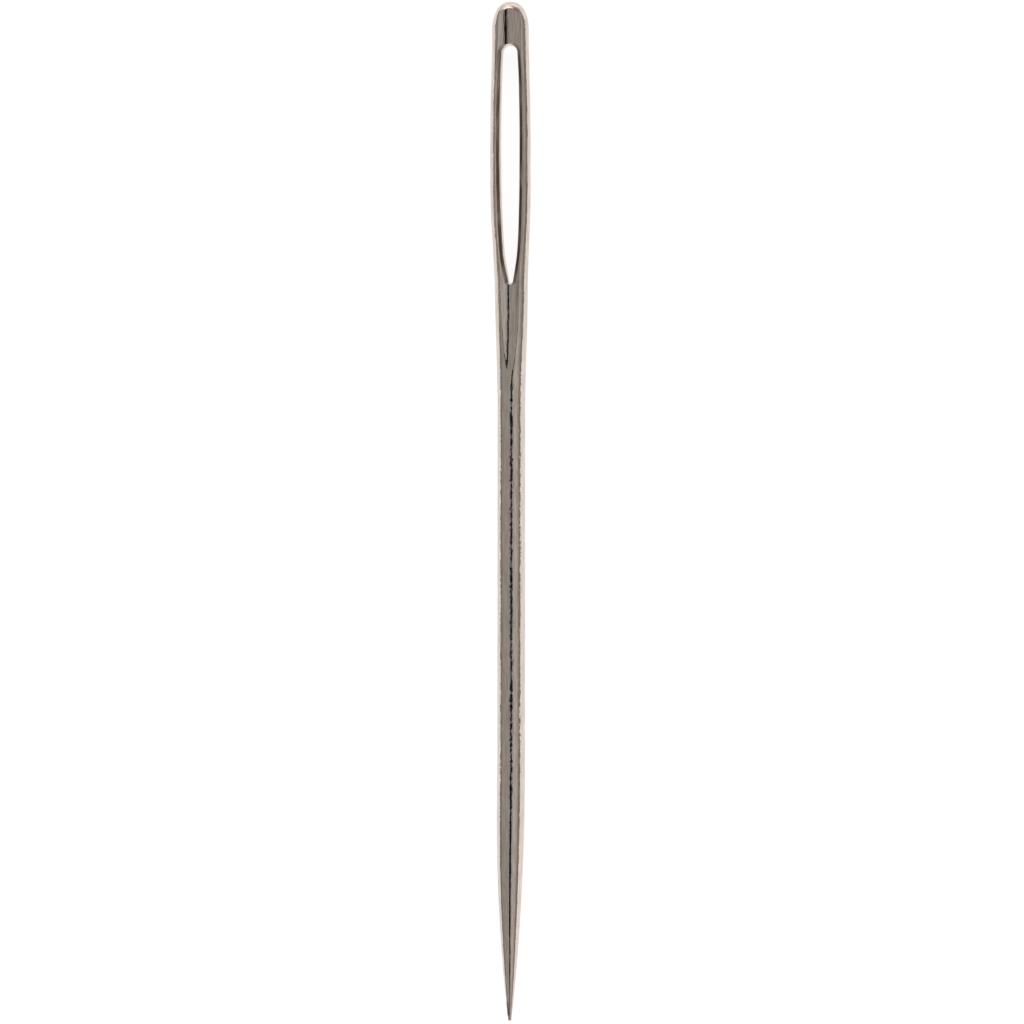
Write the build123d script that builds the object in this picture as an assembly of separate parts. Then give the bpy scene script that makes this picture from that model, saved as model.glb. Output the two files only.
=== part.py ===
from build123d import *
import math
import os

# A yarn needle, made as the real one is from a single length of drawn wire.
# One end is flattened between dies, punched through with a long drop-shaped eye and
# grooved on both faces, the middle stays round, and the other end is ground to a point.
# Sizes are in millimetres. The needle lies along Y with its eye towards +Y and its flat
# faces up and down. Its shaft rests on the plane Z = 0, and the origin is at mid-length.

# Wire and overall length
wire_diameter = 2.03
overall_length = 73.6

# Ground point
point_length = 15.9
tip_radius = 0.13

# Flattened end: the head is the solid metal above the eye, the limbs run beside the eye,
# and the neck blends the flattened section back into the round wire.
head_length = 3.19
head_width = 2.7
crown_length = 1.8
ridge_thickness = 1.46
limb_width = 0.815
neck_width = 2.43
neck_length = 9.1

# Eye opening at its narrowest, in the middle of the thickness, and how much it widens all
# round on the way to each face
eye_length = 17.12
eye_width = 1.35
eye_top_radius = 0.52
eye_bottom_radius = 0.14
eye_edge_flare = 0.14

# Gutter that leads the yarn over each face, and runs out on the neck
gutter_width = 1.7
gutter_depth = 0.21
gutter_margin = 0.42
gutter_run = 4.9

# Drop shape of the eye: how far down the eye, and the share of its width there
eye_outline_shares = ((0.15, 0.91), (0.40, 1.00), (0.57, 0.975), (0.73, 0.87), (0.87, 0.68))

# Flanks outside the eye: how far down the eye, and the share of the widest part there
flank_shares = (
    (0.0, 0.912),
    (0.15, 0.95),
    (0.28, 0.985),
    (0.42, 1.0),
    (0.60, 0.995),
    (0.72, 0.965),
    (0.86, 0.885),
)

# Steps of the blend along the neck, as shares of its length
neck_step_shares = (0.0, 0.25, 0.5, 0.75, 1.0)

wire_radius = wire_diameter / 2
top_y = overall_length / 2
tip_y = -overall_length / 2
eye_top_y = top_y - head_length
eye_bottom_y = eye_top_y - eye_length
shaft_top_y = eye_bottom_y - neck_length
point_start_y = tip_y + point_length
widest_half = eye_width / 2 + limb_width
ridge_share = math.sqrt(1 - (gutter_width / 2 / widest_half) ** 2)
oval_half_thickness = ridge_thickness / 2 / ridge_share


def smooth_step(share):
    """Blend from 0 to 1 that starts and ends level."""
    return share * share * (3 - 2 * share)


def section(y, half_width, half_thickness):
    """Oval section of the flattened wire, square to the needle."""
    return Plane(origin=(0, y, 0), x_dir=(1, 0, 0), z_dir=(0, -1, 0)) * Ellipse(half_width, half_thickness)


def shaft_and_point():
    """Round wire with its long curved point and small rounded tip."""
    tip_centre_y = tip_y + tip_radius
    reach = point_start_y - tip_centre_y
    flank_radius = (wire_radius**2 - tip_radius**2 + reach**2) / (2 * (wire_radius - tip_radius))
    arc_centre_x = wire_radius - flank_radius
    sweep_angle = math.atan2(reach, -arc_centre_x)

    def on_flank(angle):
        x = arc_centre_x + flank_radius * math.cos(angle)
        return (x, point_start_y - flank_radius * math.sin(angle))

    def on_tip(angle):
        return (tip_radius * math.cos(angle), tip_centre_y - tip_radius * math.sin(angle))

    mid_tip_angle = (sweep_angle + math.pi / 2) / 2
    outline = [
        Line((0, shaft_top_y), (wire_radius, shaft_top_y)),
        Line((wire_radius, shaft_top_y), (wire_radius, point_start_y)),
        ThreePointArc((wire_radius, point_start_y), on_flank(sweep_angle / 2), on_tip(sweep_angle)),
        ThreePointArc(on_tip(sweep_angle), on_tip(mid_tip_angle), (0, tip_y)),
        Line((0, tip_y), (0, shaft_top_y)),
    ]
    return revolve(make_face(outline), axis=Axis.Y)


def crown():
    """Rounded end of the head, half of an ellipsoid."""
    radii = (head_width / 2, crown_length, oval_half_thickness)
    whole = Pos(0, top_y - crown_length, 0) * scale(Sphere(1), by=radii)
    return split(whole, bisect_by=Plane(origin=(0, top_y - crown_length, 0), z_dir=(0, 1, 0)), keep=Keep.TOP)


def flattened_end():
    """Head, limbs and neck as one oval body, before the eye and the gutters are cut."""
    stations = [section(top_y - crown_length, head_width / 2, oval_half_thickness)]
    for down_share, width_share in flank_shares:
        y = eye_top_y - down_share * eye_length
        stations.append(section(y, width_share * widest_half, oval_half_thickness))
    for step_share in neck_step_shares:
        blend = smooth_step(step_share)
        half_width = neck_width / 2 + blend * (wire_diameter - neck_width) / 2
        half_thickness = oval_half_thickness + blend * (wire_radius - oval_half_thickness)
        stations.append(section(eye_bottom_y - step_share * neck_length, half_width, half_thickness))
    return loft(stations)


def eye_outline(z, widen):
    """Drop-shaped outline of the eye at height z, widened all round."""
    top_radius = eye_top_radius + widen
    bottom_radius = eye_bottom_radius + widen
    top_centre_y = eye_top_y - eye_top_radius
    bottom_centre_y = eye_bottom_y + eye_bottom_radius
    half_width = eye_width / 2 + widen
    flank = [(top_radius, top_centre_y)]
    for down_share, width_share in eye_outline_shares:
        flank.append((width_share * half_width, eye_top_y - down_share * eye_length))
    flank.append((bottom_radius, bottom_centre_y))
    mirrored = [(-x, y) for x, y in flank]
    down = ((0, -1), (0, -1))
    outline = [
        ThreePointArc(mirrored[0], (0, top_centre_y + top_radius), flank[0]),
        Spline(*flank, tangents=down),
        ThreePointArc(flank[-1], (0, bottom_centre_y - bottom_radius), mirrored[-1]),
        Spline(*mirrored, tangents=down),
    ]
    return Pos(0, 0, z) * make_face(outline)


def eye_cutter():
    """The eye from face to face, narrowest in the middle of the thickness."""
    upper = loft([eye_outline(0, 0), eye_outline(ridge_thickness, 2 * eye_edge_flare)], ruled=True)
    return upper + mirror(upper, about=Plane.XY)


def gutter_cutter():
    """Round-bottomed channel on the upper face that rises out of the metal on the neck."""
    radius = (gutter_width**2 / 4 + gutter_depth**2) / (2 * gutter_depth)
    floor_z = ridge_thickness / 2 - gutter_depth
    start_y = top_y - gutter_margin - gutter_width / 2
    rise = wire_radius - floor_z
    run_radius = (gutter_run**2 + rise**2) / (2 * rise)
    centre_z = floor_z + radius
    run_angle = 2 * math.atan2(rise, gutter_run)
    start = Vector(0, start_y, centre_z)
    bend = Vector(0, eye_bottom_y, centre_z)

    def on_run(angle):
        return bend + Vector(0, -math.sin(angle), 1 - math.cos(angle)) * run_radius

    path = Curve() + [Line(start, bend), ThreePointArc(bend, on_run(run_angle / 2), on_run(run_angle))]
    channel = sweep(Plane(origin=start, z_dir=(0, -1, 0)) * Circle(radius), path=path)
    return channel + Pos(*start) * Sphere(radius)


def whole_needle():
    """The finished needle in one solid, resting on Z = 0."""
    body = shaft_and_point() + flattened_end() + crown()
    body -= eye_cutter()
    gutter = gutter_cutter()
    body -= gutter
    body -= mirror(gutter, about=Plane.XY)
    return Pos(0, 0, wire_radius) * body


def cut_across(body, y):
    """Cut square across at y: (the side towards the eye, the side towards the point)."""
    plane = Plane(origin=(0, y, 0), z_dir=(0, 1, 0))
    return split(body, bisect_by=plane, keep=Keep.TOP), split(body, bisect_by=plane, keep=Keep.BOTTOM)


def stretches():
    """The needle as its named stretches, which meet face to face."""
    head, rest = cut_across(whole_needle(), eye_top_y - eye_top_radius)
    limbs, rest = cut_across(rest, eye_bottom_y + eye_bottom_radius)
    neck, rest = cut_across(rest, shaft_top_y)
    shaft, point = cut_across(rest, point_start_y)
    return {
        "head": head,
        "left_limb": split(limbs, bisect_by=Plane.YZ, keep=Keep.BOTTOM),
        "right_limb": split(limbs, bisect_by=Plane.YZ, keep=Keep.TOP),
        "neck": neck,
        "shaft": shaft,
        "point": point,
    }


def main():
    os.makedirs("parts", exist_ok=True)
    total = 0
    for name, solid in stretches().items():
        export_step(solid, f"parts/{name}.step")
        total += solid.volume
        print(name, "volume", round(solid.volume, 3), "solids", len(solid.solids()))
    print("needle volume", round(total, 2))


main()
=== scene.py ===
import math

import bpy
import bmesh
import numpy as np
from mathutils import Euler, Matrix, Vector


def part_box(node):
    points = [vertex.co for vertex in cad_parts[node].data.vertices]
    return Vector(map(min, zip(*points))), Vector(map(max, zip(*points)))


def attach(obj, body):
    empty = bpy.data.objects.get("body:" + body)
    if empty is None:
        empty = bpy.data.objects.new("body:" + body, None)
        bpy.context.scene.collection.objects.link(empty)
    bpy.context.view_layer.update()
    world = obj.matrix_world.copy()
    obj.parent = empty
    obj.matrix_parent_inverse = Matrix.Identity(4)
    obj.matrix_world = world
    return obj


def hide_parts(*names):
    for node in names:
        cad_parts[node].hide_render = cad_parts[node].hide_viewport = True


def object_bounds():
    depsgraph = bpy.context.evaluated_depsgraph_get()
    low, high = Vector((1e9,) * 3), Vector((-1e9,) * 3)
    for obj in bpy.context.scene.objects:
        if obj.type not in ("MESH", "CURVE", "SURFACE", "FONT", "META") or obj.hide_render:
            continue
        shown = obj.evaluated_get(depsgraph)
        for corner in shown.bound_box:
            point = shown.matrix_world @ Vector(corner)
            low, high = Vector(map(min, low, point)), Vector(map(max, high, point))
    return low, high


# A nickel-plated yarn needle on a white table. The needle is one unbroken skin laid over
# its packed stretches, in the same place and at the same size. Lengths are in millimetres
# until the mesh is made, and heights are measured from the needle's own axis until then.

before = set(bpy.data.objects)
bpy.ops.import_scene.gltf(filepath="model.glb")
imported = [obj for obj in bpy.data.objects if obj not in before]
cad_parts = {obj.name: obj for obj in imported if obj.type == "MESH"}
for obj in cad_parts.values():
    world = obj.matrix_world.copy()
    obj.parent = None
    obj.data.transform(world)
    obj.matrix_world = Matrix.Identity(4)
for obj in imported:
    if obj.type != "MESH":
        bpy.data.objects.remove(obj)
cad_low, cad_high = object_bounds()

MM = 0.001
BODY = "root"
STRETCHES = ("head", "left_limb", "right_limb", "neck", "shaft", "point")

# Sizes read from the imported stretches
TOP_Y = cad_high.y / MM
TIP_Y = cad_low.y / MM
AXIS_Z = (cad_low.z + cad_high.z) / 2 / MM
WIRE_RADIUS = (cad_high.z - cad_low.z) / 2 / MM
WIDEST_HALF = cad_high.x / MM
EYE_TOP_CENTRE_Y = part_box("head")[0].y / MM
EYE_BOTTOM_CENTRE_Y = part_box("neck")[1].y / MM
SHAFT_TOP_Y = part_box("shaft")[1].y / MM
POINT_START_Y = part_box("point")[1].y / MM

# Eye at its waist, in the middle of the thickness, and its flare towards each face.
# The shares say how far down the eye, and how much of its half width there.
EYE_HALF_WIDTH = 0.675
EYE_TOP_RADIUS = 0.52
EYE_BOTTOM_RADIUS = 0.14
EYE_FLARE = 0.14
EYE_TOP_Y = EYE_TOP_CENTRE_Y + EYE_TOP_RADIUS
EYE_BOTTOM_Y = EYE_BOTTOM_CENTRE_Y - EYE_BOTTOM_RADIUS
EYE_LENGTH = EYE_TOP_Y - EYE_BOTTOM_Y
EYE_SHARES = ((0.15, 0.91), (0.40, 1.0), (0.57, 0.975), (0.73, 0.87), (0.87, 0.68))
EYE_TOP_EASE_SHARE = 0.9

# Outer shape of the flattened end. The shares say how far down the eye, and how much of the
# widest half there.
CROWN_LENGTH = 2.0
CROWN_THICKNESS_RUN = 0.62
CROWN_BLUNTNESS = 2.4
OVAL_HALF_THICKNESS = 0.885
FLANK_SHARES = (
    (-0.19, 0.900),
    (-0.08, 0.905),
    (0.0, 0.912),
    (0.15, 0.95),
    (0.28, 0.982),
    (0.42, 0.998),
    (0.60, 0.994),
    (0.72, 0.965),
    (0.86, 0.885),
    (1.0, 0.815),
)
NECK_LENGTH = EYE_BOTTOM_Y - SHAFT_TOP_Y
RIM_FULLNESS = 1.6
ROUND_FULLNESS = 2.0
THIN_RIM_HEIGHT = 0.12

# Gutter on each face: half widths from ridge to ridge, depths, its arched end on the head,
# and how it runs out on the neck
GUTTER_HEAD_HALF = 0.86
GUTTER_EYE_HALF = 1.08
GUTTER_NECK_HALF = 0.69
GUTTER_UPPER_SHARE = 0.97
GUTTER_LOWER_SHARE = 0.95
GUTTER_WIDEST_SHARE = 0.98
GUTTER_DEPTH = 0.24
GUTTER_NECK_DEPTH = 0.30
GUTTER_DEEPENING_SHARE = 0.85
GUTTER_MARGIN = 0.34
GUTTER_END_ARCH = 0.60
GUTTER_END_RUN = 0.16
GUTTER_RUN_OUT = 6.6
RIDGE_ROUNDING = 0.030
ARCH_POWER = 2.2
END_WALL_POWER = 1.5
RUN_OUT_POWER = 1.6

# Ground point
POINT_TIP_RADIUS = 0.13

# Slight sideways bow of the drawn wire, from below the eye to the start of the point
BOW = 0.09
BOW_TOP_Y = 26.0
BOW_TOP_RUN = 14.0
BOW_FOOT_Y = -29.0
BOW_FOOT_RUN = 12.0

# Painted shade: brown darkening along the lip of the punched eye, standing in for the dark reflection
# of the eye's inner walls, fading towards the eye's two ends
LIP_SHADE_AND_TIP_PATCH = "lip_shade_and_tip_patch"
LIP_SHADE_WIDTH = 0.19
LIP_SHADE_FADE = 0.07
LIP_WALL_POWER = 7
LIP_END_POWER = 3

# Dark patch on the left of the tip: where it starts and ends above the tip, and its soft edges
TIP_DARK_START = 0.42
TIP_DARK_END = 1.45
TIP_DARK_LOWER_FADE = 0.1
TIP_DARK_UPPER_FADE = 0.2
TIP_DARK_STEEPNESS = 3

# Colours of the plate, and the brown of the painted shade on the eye's lip and of the dark patch at the
# tip
NICKEL_PINK = (0.715, 0.630, 0.575, 1)
NICKEL_GREEN = (0.680, 0.628, 0.565, 1)
NICKEL_DARK = (0.42, 0.345, 0.30, 1)
SHADE_AND_PATCH_BROWN = (0.072, 0.036, 0.018, 1)
STREAK_SHARE = 0.42
SHADE_AND_PATCH_SHARE = 0.92
LIP_PATCH_SHARE = 0.55
ROUGHNESS_LOW = 0.06
ROUGHNESS_HIGH = 0.11

# Grain of the plate: how many times as long as wide, and how wide
DRIFT_GRAIN = (3.0, 1.2)
STREAK_GRAIN = (14.0, 0.09)
PATCH_GRAIN = (5.0, 0.5)
ROUGH_GRAIN = (8.0, 0.16)
RIPPLE_GRAIN = (1.1, 0.17)
WAVE_GRAIN = (2.0, 0.42)
MARK_GRAIN = (22.0, 0.055)
FINE_DETAIL = 2.0
SOFT_DETAIL = 1.0

# Noise values between which each kind of grain fades in
DRIFT_LIMITS = (0.38, 0.62)
STREAK_LIMITS = (0.35, 0.65)
PATCH_LIMITS = (0.30, 0.62)

# Relief: height of the ripples, and how much of it is left beyond the shaft
RIPPLE_HEIGHT = 0.0165
NECK_CALM_RUN = 7
NECK_CALM_SHARE = 0.22
POINT_CALM_BELOW = 2
POINT_CALM_ABOVE = 3
POINT_CALM_SHARE = 0.30
SHAFT_MARK_SHARE = 0.08
NECK_MARK_SHARE = 0.34

# Pits: spacing, the cells that have none, and each pit's floor, edge and depth
PIT_SPACING = 2.4
PITLESS_SHARE = 0.72
PIT_LIMITS = (0.03, 0.10)
PIT_DEPTH = 1.6

# Studio dome, with levels that rise from the horizon. Turns are taken about the needle's
# axis from the lens that looks down at it, and limits along it are those of the y part of
# the direction.
SKY_COLOUR = (1.0, 0.965, 0.935, 1)
DOME_LOW = 0.22
DOME_HIGH = 0.405
DOME_LIMITS = (0.05, 0.55)
LAMP_TURN = math.radians(34)
LAMP_HALF_TURN = math.radians(34)
LAMP_CORE_SHARE = 0.15
LAMP_GAIN = 0.17
LAMP_LIMITS = (0.5, 0.95)
END_LAMP_GAIN = 1.7
END_LAMP_LIMITS = (0.60, 0.86)
LENS_HALF_TURN = math.radians(8.6)
LENS_EDGE_SHARE = 0.15
LENS_LIMITS = (0.35, 0.55)
LENS_DARKNESS = 0.985

# White table
TABLE_HALF_SIZE = 2000
TABLE_COLOUR = (0.95, 0.95, 0.95, 1)
TABLE_GLOW = 1.38
TABLE_GLOW_SHARE = 0.60

# Camera: leans over to the right of the needle, and aims near the origin
CAMERA_TILT = math.radians(10)
CAMERA_ROLL = math.radians(0.04)
CAMERA_DISTANCE = 450
CAMERA_AIM = (0.14, -0.036)
SENSOR_WIDTH = 36
FRAME_PIXELS = 1024
PIXELS_PER_MM = 13.857
CLIP_START = 10
CLIP_END = 10000

# Mesh density
RING_HALF_STEPS = 64
FACE_STEPS = 44
WALL_STEPS = 10
LIMB_STEPS = 150
TOP_ARC_STEPS = 120
CORNER_STEPS = 20
OUTLINE_STEPS = 4000
TUBE_STEPS = 260
TIP_STEPS = 30
NECK_PATCH = 0.9
TIP_MESH_LENGTH = 2.5 * POINT_TIP_RADIUS
MERGE_DISTANCE = 0.00002


def curve_through(points, at):
    """Smooth curve through (x, y) pairs, with x rising, read at every value of at."""
    xs = np.array([p[0] for p in points], float)
    ys = np.array([p[1] for p in points], float)
    steep = np.diff(ys) / np.diff(xs)
    before, after = steep[:-1], steep[1:]
    level = before * after <= 0
    inner = np.where(level, 0, 2 * before * after / np.where(level, 1, before + after))
    slopes = np.concatenate([[steep[0]], inner, [steep[-1]]])
    k = np.clip(np.searchsorted(xs, at) - 1, 0, len(xs) - 2)
    gap = xs[k + 1] - xs[k]
    t = np.clip((at - xs[k]) / gap, 0, 1)
    start = (1 + 2 * t) * (1 - t) ** 2 * ys[k] + t * (1 - t) ** 2 * gap * slopes[k]
    return start + t * t * (3 - 2 * t) * ys[k + 1] + t * t * (t - 1) * gap * slopes[k + 1]


def smooth_step(share):
    """Blend from 0 to 1 that starts and ends level."""
    share = np.clip(share, 0, 1)
    return share * share * (3 - 2 * share)


def eye_share(y):
    """How far down the eye a place is."""
    return (EYE_TOP_Y - y) / EYE_LENGTH


def neck_share(y):
    """How far down the neck a place is, from the eye to the round shaft."""
    return (EYE_BOTTOM_Y - y) / NECK_LENGTH


def crown_share(y):
    """0 below the crown, 1 at the very top of the head."""
    return np.clip((y - (TOP_Y - CROWN_LENGTH)) / CROWN_LENGTH, 0, 1)


def point_radius(y, otherwise):
    """Ground point: a long arc tangent to the shaft, then a small ball."""
    reach = POINT_START_Y - (TIP_Y + POINT_TIP_RADIUS)
    drop = WIRE_RADIUS - POINT_TIP_RADIUS
    arc = (drop**2 + reach**2) / (2 * drop)
    along = np.clip(POINT_START_Y - y, 0, reach)
    flank = WIRE_RADIUS - arc + np.sqrt(arc**2 - along**2)
    ball = np.sqrt(np.clip(POINT_TIP_RADIUS**2 - (y - TIP_Y - POINT_TIP_RADIUS) ** 2, 0, None))
    on_point = np.where(y < TIP_Y + POINT_TIP_RADIUS, ball, flank)
    return np.where(y < POINT_START_Y, on_point, otherwise)


def half_width(y):
    """Silhouette of the needle, from above."""
    y = np.asarray(y, float)
    flank = curve_through(FLANK_SHARES, eye_share(y)) * WIDEST_HALF
    flank = flank + (WIRE_RADIUS - flank) * smooth_step(neck_share(y))
    crown = (1 - crown_share(y) ** 2) ** (1 / CROWN_BLUNTNESS)
    return np.minimum(flank * crown, point_radius(y, flank))


def half_thickness(y):
    """Half thickness in the middle of the section, before the gutters."""
    y = np.asarray(y, float)
    oval = OVAL_HALF_THICKNESS + (WIRE_RADIUS - OVAL_HALF_THICKNESS) * smooth_step(neck_share(y))
    return point_radius(y, oval)


def fullness(y):
    """Exponent of the section: a soft wide rim on the flattened end, a circle on the wire."""
    return RIM_FULLNESS + (ROUND_FULLNESS - RIM_FULLNESS) * smooth_step(neck_share(y))


def bare_height(x, y):
    """Height of the upper surface before the gutter is pressed in."""
    across = np.clip(np.abs(x) / np.maximum(half_width(y), 1e-9), 0, 1)
    height = half_thickness(y) * (1 - across**2) ** (1 / fullness(y))
    to_top = np.clip((TOP_Y - y) / CROWN_THICKNESS_RUN, 0, 1)
    return height * (1 - (1 - to_top) ** 2) ** 0.5


def gutter_half(y):
    """Half width of the gutter, from its middle to a ridge."""
    places = (
        (-0.2, GUTTER_HEAD_HALF),
        (0.0, GUTTER_HEAD_HALF),
        (0.2, GUTTER_EYE_HALF * GUTTER_UPPER_SHARE),
        (0.5, GUTTER_EYE_HALF),
        (0.75, GUTTER_EYE_HALF * GUTTER_LOWER_SHARE),
        (1.0, GUTTER_NECK_HALF),
        (1.2, GUTTER_NECK_HALF),
    )
    return curve_through(places, eye_share(y))


def gutter_height(x, y):
    """Height of the gutter's surface, which climbs out of the metal at both its ends."""
    half = gutter_half(y)
    deepening = smooth_step((eye_share(y) - GUTTER_DEEPENING_SHARE) / (1 - GUTTER_DEEPENING_SHARE))
    depth = GUTTER_DEPTH + (GUTTER_NECK_DEPTH - GUTTER_DEPTH) * deepening
    below_crown = np.minimum(y, TOP_Y - CROWN_LENGTH)
    across = np.clip(half / half_width(below_crown), 0, GUTTER_WIDEST_SHARE)
    ridge = half_thickness(below_crown) * (1 - across**2) ** (1 / fullness(y))
    down_neck = np.clip((EYE_BOTTOM_Y - y) / GUTTER_RUN_OUT, 0, None)
    run_out = (half_thickness(y) - ridge + depth) * down_neck**RUN_OUT_POWER
    end_y = TOP_Y - GUTTER_MARGIN - GUTTER_END_ARCH * np.abs(x / half) ** ARCH_POWER
    into_end = np.clip((y - (end_y - GUTTER_END_RUN)) / GUTTER_END_RUN, 0, None)
    end_wall = GUTTER_DEPTH * into_end**END_WALL_POWER
    return ridge - depth * (1 - (x / half) ** 2) + run_out + end_wall


def soft_lower(a, b, rounding):
    """The lower of two surfaces, with the edge between them rounded."""
    return (a + b - np.sqrt((a - b) ** 2 + rounding**2)) / 2


def face_height(x, y):
    """Height of the finished upper face."""
    bare = bare_height(x, y)
    off_rim = np.clip(bare / THIN_RIM_HEIGHT, 0, 1)
    return np.maximum(soft_lower(bare, gutter_height(x, y), RIDGE_ROUNDING * off_rim), 0)


def eye_half(y):
    """Half width of the eye at its waist, between the two end arcs."""
    top_share = EYE_TOP_RADIUS / EYE_HALF_WIDTH
    bottom_share = EYE_BOTTOM_RADIUS / EYE_HALF_WIDTH
    top = ((0.0, top_share * EYE_TOP_EASE_SHARE), (EYE_TOP_RADIUS / EYE_LENGTH, top_share))
    foot = ((1 - EYE_BOTTOM_RADIUS / EYE_LENGTH, bottom_share),)
    return curve_through(top + EYE_SHARES + foot, eye_share(y)) * EYE_HALF_WIDTH


def bow(y):
    """How far the wire strays sideways from a straight line."""
    below_top = smooth_step((BOW_TOP_Y - y) / BOW_TOP_RUN)
    above_foot = smooth_step((y - BOW_FOOT_Y) / BOW_FOOT_RUN)
    return BOW * float(below_top * above_foot)


def tip_dark_patch(x, y):
    """Dark patch on the left of the tip's upper side."""
    above_tip = y - TIP_Y
    rising = smooth_step((above_tip - TIP_DARK_START) / TIP_DARK_LOWER_FADE)
    falling = smooth_step((TIP_DARK_END - above_tip) / TIP_DARK_UPPER_FADE)
    across = x / max(float(half_width(y)), 1e-6)
    return float(rising * falling * smooth_step(0.5 - TIP_DARK_STEEPNESS * across))


def corner_turn(share):
    """Eases the turn round the eye's tiny lower arc."""
    return 0.5 * share + 0.5 * float(smooth_step(share))


def ring_places(y):
    """Places across the upper half of a ring, from its right side to its left side."""
    angle = np.linspace(0, math.pi, RING_HALF_STEPS + 1)
    return np.cos(angle) * half_width(y)


def plan_lines():
    """Plan of the eye end: for each line, its start on the eye's waist and its end outside.

    The lines run round one side of the eye, from its top, down the right limb and across the
    neck to the far side. Each also gives the direction away from the eye, and whether it
    ends on the silhouette.
    """
    starts, ends, away, on_rim = [], [], [], []

    def add(start, end, direction, rim):
        starts.append(start)
        ends.append(end)
        away.append(direction)
        on_rim.append(rim)

    # Outline of the head, from the middle of its top to the level of the eye's top arc
    fine = np.sin(np.linspace(0, math.pi / 2, OUTLINE_STEPS)) ** 3
    head_y = TOP_Y - fine * (TOP_Y - EYE_TOP_CENTRE_Y)
    head_x = half_width(head_y)
    run = np.concatenate([[0], np.cumsum(np.hypot(np.diff(head_x), np.diff(head_y)))])
    half_steps = TOP_ARC_STEPS // 2
    for step in range(half_steps):
        share = step / half_steps
        angle = share * math.pi / 2
        direction = (math.sin(angle), math.cos(angle))
        start = (EYE_TOP_RADIUS * direction[0], EYE_TOP_CENTRE_Y + EYE_TOP_RADIUS * direction[1])
        end = (np.interp(share * run[-1], run, head_x), np.interp(share * run[-1], run, head_y))
        add(start, end, direction, True)

    # Right limb, in level lines
    for step in range(LIMB_STEPS):
        y = EYE_TOP_CENTRE_Y + (EYE_BOTTOM_CENTRE_Y - EYE_TOP_CENTRE_Y) * step / LIMB_STEPS
        add((float(eye_half(y)), y), (float(half_width(y)), y), (1.0, 0.0), True)

    # Below the eye: round the lower arc to the corner of the patch, then along its foot
    foot_y = EYE_BOTTOM_Y - NECK_PATCH
    ring = ring_places(foot_y)
    total = CORNER_STEPS + RING_HALF_STEPS // 2
    for step in range(total + 1):
        angle = math.pi / 2 * (1 + corner_turn(step / total))
        direction = (math.sin(angle), math.cos(angle))
        start_y = EYE_BOTTOM_CENTRE_Y + EYE_BOTTOM_RADIUS * direction[1]
        start = (EYE_BOTTOM_RADIUS * direction[0], start_y)
        if step <= CORNER_STEPS:
            y = EYE_BOTTOM_CENTRE_Y + (foot_y - EYE_BOTTOM_CENTRE_Y) * step / CORNER_STEPS
            add(start, (float(half_width(y)), y), direction, True)
        else:
            add(start, (float(ring[step - CORNER_STEPS]), foot_y), direction, False)
    return [np.array(part) for part in (starts, ends, away, on_rim)]


def eye_end_grid():
    """Points of a quarter of the eye end, by line and step from waist to rim, and their painted shade
    along the lip.
    """
    starts, ends, away, on_rim = plan_lines()
    lip = starts + away * EYE_FLARE
    lip_height = face_height(lip[:, 0], lip[:, 1])
    on_limb = np.abs(away[:, 0]) ** LIP_END_POWER
    columns, lip_shading = [], []
    # Wall of the eye: a quarter oval, upright at the waist and level at the face
    for step in range(WALL_STEPS):
        angle = math.pi / 2 * step / WALL_STEPS
        plan = starts + (lip - starts) * (1 - math.cos(angle))
        height = lip_height * math.sin(angle)
        columns.append(np.column_stack([plan, height]))
        # Painted shade down the eye's wall, on the limbs only
        lip_shading.append(on_limb * math.sin(angle) ** LIP_WALL_POWER)
    # Face, from the eye's lip to the rim, closer together near the rim
    for step in range(FACE_STEPS + 1):
        share = step / FACE_STEPS
        eased = np.where(on_rim, math.sin(share * math.pi / 2), share)[:, None]
        plan = lip + (ends - lip) * eased
        height = face_height(plan[:, 0], plan[:, 1])
        if step == FACE_STEPS:
            height = np.where(on_rim, 0, height)
        columns.append(np.column_stack([plan, height]))
        # Painted shade on the face next to the eye's lip, fading away from it
        from_lip = np.hypot(*(plan - lip).T)
        lip_shading.append(on_limb * smooth_step((LIP_SHADE_WIDTH - from_lip) / LIP_SHADE_FADE))
    return np.stack(columns, axis=1), np.stack(lip_shading, axis=1)


def quad(mesh, a, b, c, d, forward):
    """One face, wound the other way round where forward is false."""
    mesh.faces.new((a, b, c, d) if forward else (d, c, b, a))


def add_eye_end(mesh, vertex):
    """Head, limbs and upper neck: one quarter, mirrored to both sides and both faces."""
    grid, lip_shading = eye_end_grid()
    lines, steps = grid.shape[:2]
    for side in (1, -1):
        for face in (1, -1):
            rows = [
                [vertex((side * p[0], p[1], face * p[2]), w) for p, w in zip(line, line_shading)]
                for line, line_shading in zip(grid, lip_shading)
            ]
            forward = side * face > 0
            for i in range(lines - 1):
                for j in range(steps - 1):
                    quad(mesh, rows[i][j], rows[i][j + 1], rows[i + 1][j + 1], rows[i + 1][j], forward)


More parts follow.
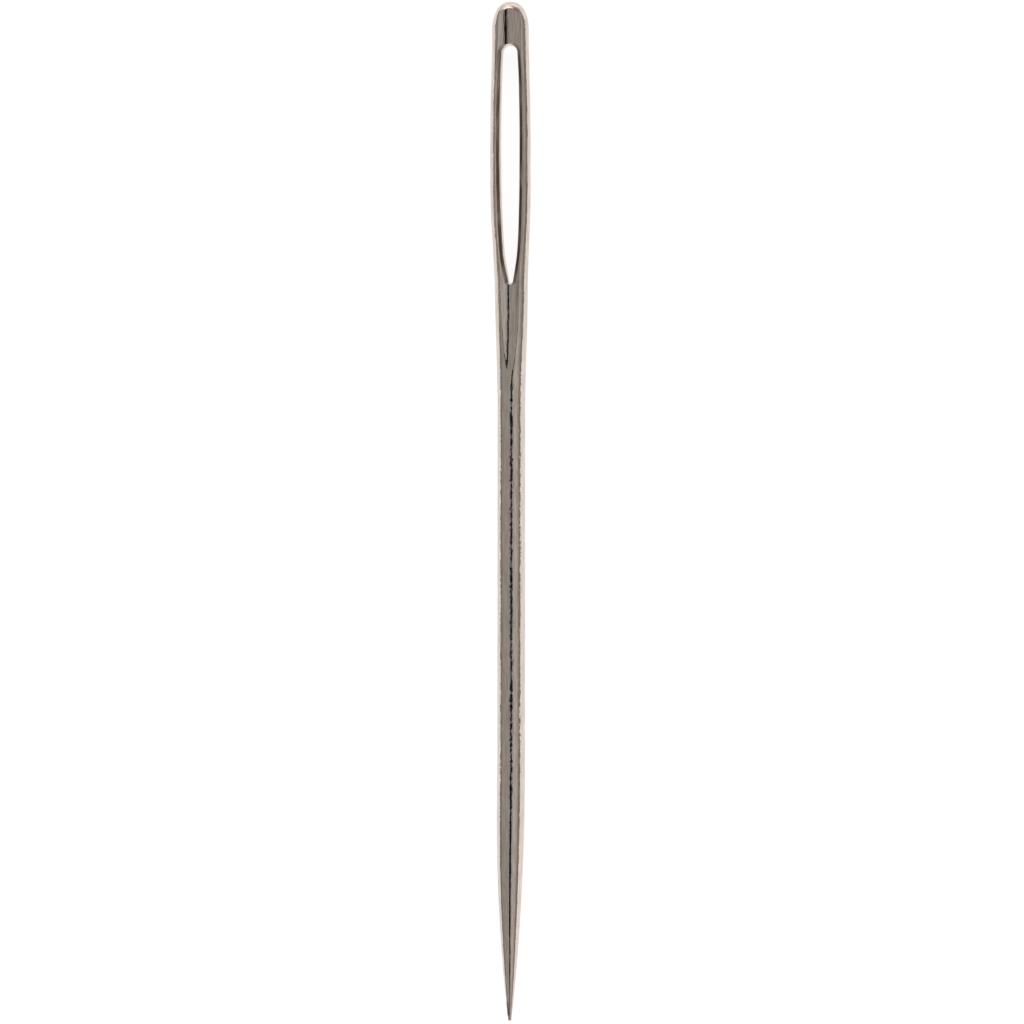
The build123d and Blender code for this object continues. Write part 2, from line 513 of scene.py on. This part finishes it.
def add_wire(mesh, vertex):
    """Lower neck, shaft and point as rings, closed by a fan at the tip."""
    near_tip = TIP_Y + TIP_MESH_LENGTH
    tube = np.linspace(EYE_BOTTOM_Y - NECK_PATCH, near_tip, TUBE_STEPS)
    tip = TIP_Y + (near_tip - TIP_Y) * (1 - np.sin(np.linspace(0, math.pi / 2, TIP_STEPS)))
    previous = None
    for y in np.concatenate([tube, tip[1:-1]]):
        xs = ring_places(y)
        zs = face_height(xs, np.full_like(xs, y))
        zs[0] = zs[-1] = 0
        # Each upper vertex carries its share of the dark patch at the tip
        upper = [vertex((x, y, z), tip_dark_patch(x, y)) for x, z in zip(xs, zs)]
        under = [vertex((x, y, -z)) for x, z in zip(xs[1:-1], zs[1:-1])]
        lower = [upper[0], *under, upper[-1]]
        if previous:
            for i in range(RING_HALF_STEPS):
                quad(mesh, previous[0][i], previous[0][i + 1], upper[i + 1], upper[i], True)
                quad(mesh, previous[1][i], previous[1][i + 1], lower[i + 1], lower[i], False)
        previous = (upper, lower)
    end = vertex((0, TIP_Y, 0))
    for i in range(RING_HALF_STEPS):
        mesh.faces.new((previous[0][i], previous[0][i + 1], end))
        mesh.faces.new((previous[1][i + 1], previous[1][i], end))


def build_mesh():
    """The needle's skin as one closed mesh, with its painted lip shade and dark tip patch as a value at
    every vertex.
    """
    mesh = bmesh.new()
    shade_and_patch = mesh.verts.layers.float.new(LIP_SHADE_AND_TIP_PATCH)

    def vertex(point, darkening=0.0):
        x, y, z = point
        made = mesh.verts.new(Vector((x + bow(y), y, z + AXIS_Z)) * MM)
        made[shade_and_patch] = darkening
        return made

    add_eye_end(mesh, vertex)
    add_wire(mesh, vertex)
    bmesh.ops.remove_doubles(mesh, verts=mesh.verts, dist=MERGE_DISTANCE * MM)
    bmesh.ops.recalc_face_normals(mesh, faces=mesh.faces)
    return mesh


def make_needle():
    """The needle as an object with smooth shading."""
    mesh = build_mesh()
    data = bpy.data.meshes.new("yarn_needle")
    mesh.to_mesh(data)
    mesh.free()
    data.polygons.foreach_set("use_smooth", [True] * len(data.polygons))
    made = bpy.data.objects.new("yarn_needle", data)
    bpy.context.scene.collection.objects.link(made)
    return made


def node(tree, kind, inputs=(), **settings):
    """A shader node with its settings, its input values and its links in one go."""
    made = tree.nodes.new(kind)
    for name, value in settings.items():
        setattr(made, name, value)
    for name, value in dict(inputs).items():
        if isinstance(value, bpy.types.NodeSocket):
            tree.links.new(value, made.inputs[name])
        else:
            made.inputs[name].default_value = value
    return made


def calculate(tree, operation, a, b=0.0, c=0.0):
    """One step of arithmetic between values or outputs."""
    return node(tree, "ShaderNodeMath", {0: a, 1: b, 2: c}, operation=operation).outputs[0]


def fade(tree, value, low, high, to_low=0.0, to_high=1.0):
    """Soft step of a value between two limits."""
    limits = {"Value": value, "From Min": low, "From Max": high}
    limits.update({"To Min": to_low, "To Max": to_high})
    return node(tree, "ShaderNodeMapRange", limits, interpolation_type="SMOOTHSTEP").outputs[0]


def blend_colour(tree, share, a, b):
    """Colour a where share is 0, and b where it is 1."""
    return node(tree, "ShaderNodeMix", {0: share, 6: a, 7: b}, data_type="RGBA").outputs[2]


def grain(tree, place, stretch, size_mm, detail=FINE_DETAIL):
    """Noise whose features are size_mm across and stretch times as long along the needle."""
    squeezed = {"Vector": place, "Scale": (1, 1 / stretch, 1)}
    scaled = node(tree, "ShaderNodeMapping", squeezed).outputs[0]
    inputs = {"Vector": scaled, "Scale": 1 / (size_mm * MM), "Detail": detail}
    return node(tree, "ShaderNodeTexNoise", inputs).outputs[0]


def nickel_colour(tree, place):
    """Warm grey with faint pink and green drifts and dark streaks, brown where the lip's painted shade
    and the tip's dark patch lie.
    """
    drift = fade(tree, grain(tree, place, *DRIFT_GRAIN), *DRIFT_LIMITS)
    plate = blend_colour(tree, drift, NICKEL_PINK, NICKEL_GREEN)
    streak = fade(tree, grain(tree, place, *STREAK_GRAIN), *STREAK_LIMITS, 0.0, STREAK_SHARE)
    plate = blend_colour(tree, streak, plate, NICKEL_DARK)
    # Painted shade along the eye's lip, and the dark patch at the tip, both turned brown
    shade_and_patch = node(tree, "ShaderNodeAttribute", attribute_name=LIP_SHADE_AND_TIP_PATCH).outputs["Fac"]
    patchy = fade(tree, grain(tree, place, *PATCH_GRAIN), *PATCH_LIMITS, LIP_PATCH_SHARE, 1.0)
    browned = calculate(tree, "MULTIPLY", shade_and_patch, patchy)
    browned = calculate(tree, "MULTIPLY", browned, SHADE_AND_PATCH_SHARE)
    return blend_colour(tree, browned, plate, SHADE_AND_PATCH_BROWN)


def shallow_pits(tree, place):
    """1 in the floor of a pit, 0 around it."""
    pits = node(tree, "ShaderNodeTexVoronoi", {"Vector": place, "Scale": 1 / (PIT_SPACING * MM)})
    chance = node(tree, "ShaderNodeSeparateColor", {0: pits.outputs["Color"]}).outputs[0]
    few = calculate(tree, "GREATER_THAN", chance, PITLESS_SHARE)
    return calculate(tree, "MULTIPLY", fade(tree, pits.outputs["Distance"], *PIT_LIMITS, 1.0, 0.0), few)


def nickel_relief(tree, place):
    """Ripples of the drawn wire, faint on the pressed and ground ends, long marks and pits."""
    along = node(tree, "ShaderNodeSeparateXYZ", {0: place}).outputs[1]
    neck_limits = (SHAFT_TOP_Y * MM, (SHAFT_TOP_Y + NECK_CALM_RUN) * MM)
    point_limits = ((POINT_START_Y - POINT_CALM_BELOW) * MM, (POINT_START_Y + POINT_CALM_ABOVE) * MM)
    above = fade(tree, along, *neck_limits, 1.0, NECK_CALM_SHARE)
    below = fade(tree, along, *point_limits, POINT_CALM_SHARE, 1.0)
    on_shaft = calculate(tree, "MULTIPLY", above, below)
    ripples = grain(tree, place, *RIPPLE_GRAIN, SOFT_DETAIL)
    waves = calculate(tree, "ADD", ripples, grain(tree, place, *WAVE_GRAIN, SOFT_DETAIL))
    relief = calculate(tree, "MULTIPLY", waves, on_shaft)
    mark_depth = fade(tree, along, *neck_limits, SHAFT_MARK_SHARE, NECK_MARK_SHARE)
    marks = calculate(tree, "MULTIPLY", grain(tree, place, *MARK_GRAIN), mark_depth)
    relief = calculate(tree, "ADD", relief, marks)
    pits = calculate(tree, "MULTIPLY", shallow_pits(tree, place), PIT_DEPTH)
    relief = calculate(tree, "SUBTRACT", relief, pits)
    inputs = {"Height": relief, "Distance": RIPPLE_HEIGHT * MM, "Strength": 1.0}
    return node(tree, "ShaderNodeBump", inputs).outputs[0]


def nickel():
    """Polished nickel plate on drawn wire."""
    material = bpy.data.materials.new("nickel_plate")
    material.use_nodes = True
    tree = material.node_tree
    shader = tree.nodes["Principled BSDF"]
    place = node(tree, "ShaderNodeTexCoord").outputs["Object"]
    dull = grain(tree, place, *ROUGH_GRAIN)
    rough = fade(tree, dull, *STREAK_LIMITS, ROUGHNESS_LOW, ROUGHNESS_HIGH)
    tree.links.new(nickel_colour(tree, place), shader.inputs["Base Color"])
    tree.links.new(rough, shader.inputs["Roughness"])
    tree.links.new(nickel_relief(tree, place), shader.inputs["Normal"])
    shader.inputs["Metallic"].default_value = 1
    return material


def white_table():
    """Large white table top, matte and glowing a little, at the height zero."""
    size = TABLE_HALF_SIZE * MM
    corners = [(-size, -size, 0), (size, -size, 0), (size, size, 0), (-size, size, 0)]
    data = bpy.data.meshes.new("table_top")
    data.from_pydata(corners, [], [(0, 1, 2, 3)])
    table = bpy.data.objects.new("table_top", data)
    bpy.context.scene.collection.objects.link(table)
    material = bpy.data.materials.new("white_table")
    material.use_nodes = True
    tree = material.node_tree
    tree.nodes.clear()
    matte = node(tree, "ShaderNodeBsdfDiffuse", {"Color": TABLE_COLOUR}).outputs[0]
    glow = node(tree, "ShaderNodeEmission", {"Strength": TABLE_GLOW}).outputs[0]
    mix = node(tree, "ShaderNodeMixShader", {0: TABLE_GLOW_SHARE, 1: matte, 2: glow})
    node(tree, "ShaderNodeOutputMaterial", {"Surface": mix.outputs[0]})
    data.materials.append(material)


def sky_level(tree):
    """Brightness of the studio by direction: dome, side lamp, two end lamps and dark lens."""
    direction = node(tree, "ShaderNodeTexCoord").outputs["Generated"]
    parts = node(tree, "ShaderNodeSeparateXYZ", {0: direction}).outputs
    turn = calculate(tree, "ARCTAN2", parts[0], parts[2])
    from_lens = calculate(tree, "SUBTRACT", turn, CAMERA_TILT)
    lengthwise = calculate(tree, "ABSOLUTE", parts[1])

    dome = fade(tree, parts[2], *DOME_LIMITS, DOME_LOW, DOME_HIGH)
    off_lamp = calculate(tree, "ABSOLUTE", calculate(tree, "SUBTRACT", from_lens, LAMP_TURN))
    lamp = fade(tree, off_lamp, LAMP_HALF_TURN * LAMP_CORE_SHARE, LAMP_HALF_TURN, LAMP_GAIN, 0.0)
    lamp = calculate(tree, "MULTIPLY", lamp, fade(tree, lengthwise, *LAMP_LIMITS, 1.0, 0.0))
    end_lamps = fade(tree, lengthwise, *END_LAMP_LIMITS, 0.0, END_LAMP_GAIN)
    lit = calculate(tree, "ADD", calculate(tree, "ADD", dome, lamp), end_lamps)

    off_lens = calculate(tree, "ABSOLUTE", from_lens)
    lens_core = LENS_HALF_TURN * (1 - LENS_EDGE_SHARE)
    lens_edge = LENS_HALF_TURN * (1 + LENS_EDGE_SHARE)
    lens = fade(tree, off_lens, lens_core, lens_edge, 1.0, 0.0)
    lens = calculate(tree, "MULTIPLY", lens, fade(tree, lengthwise, *LENS_LIMITS, 1.0, 0.0))
    shade = calculate(tree, "MULTIPLY", lens, LENS_DARKNESS)
    return calculate(tree, "MULTIPLY", lit, calculate(tree, "SUBTRACT", 1.0, shade))


def soft_sky():
    """World that lights the needle as the studio, and is white to the camera."""
    world = bpy.data.worlds.new("studio")
    bpy.context.scene.world = world
    world.use_nodes = True
    tree = world.node_tree
    tree.nodes.clear()
    lighting = {"Color": SKY_COLOUR, "Strength": sky_level(tree)}
    studio = node(tree, "ShaderNodeBackground", lighting).outputs[0]
    white = node(tree, "ShaderNodeBackground", {"Strength": 1.0, "Color": (1, 1, 1, 1)}).outputs[0]
    seen = node(tree, "ShaderNodeLightPath").outputs["Is Camera Ray"]
    mix = node(tree, "ShaderNodeMixShader", {0: seen, 1: studio, 2: white})
    node(tree, "ShaderNodeOutputWorld", {"Surface": mix.outputs[0]})


def add_camera():
    """Long lens straight over the needle, turned a little to its right."""
    data = bpy.data.cameras.new("camera")
    data.sensor_width = SENSOR_WIDTH
    data.lens = SENSOR_WIDTH * CAMERA_DISTANCE * PIXELS_PER_MM / FRAME_PIXELS
    data.clip_start = CLIP_START * MM
    data.clip_end = CLIP_END * MM
    camera = bpy.data.objects.new("camera", data)
    bpy.context.scene.collection.objects.link(camera)
    target = Vector((*CAMERA_AIM, AXIS_Z)) * MM
    away = Vector((math.sin(CAMERA_TILT), 0, math.cos(CAMERA_TILT)))
    camera.location = target + away * CAMERA_DISTANCE * MM
    camera.rotation_euler = Euler((0, CAMERA_TILT, 0), "XYZ")
    camera.rotation_euler.rotate_axis("Z", CAMERA_ROLL)
    bpy.context.scene.camera = camera


needle = make_needle()
needle.data.materials.append(nickel())
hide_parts(*STRETCHES)
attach(needle, BODY)
white_table()
soft_sky()
add_camera()
bpy.context.scene.view_settings.view_transform = "Standard"
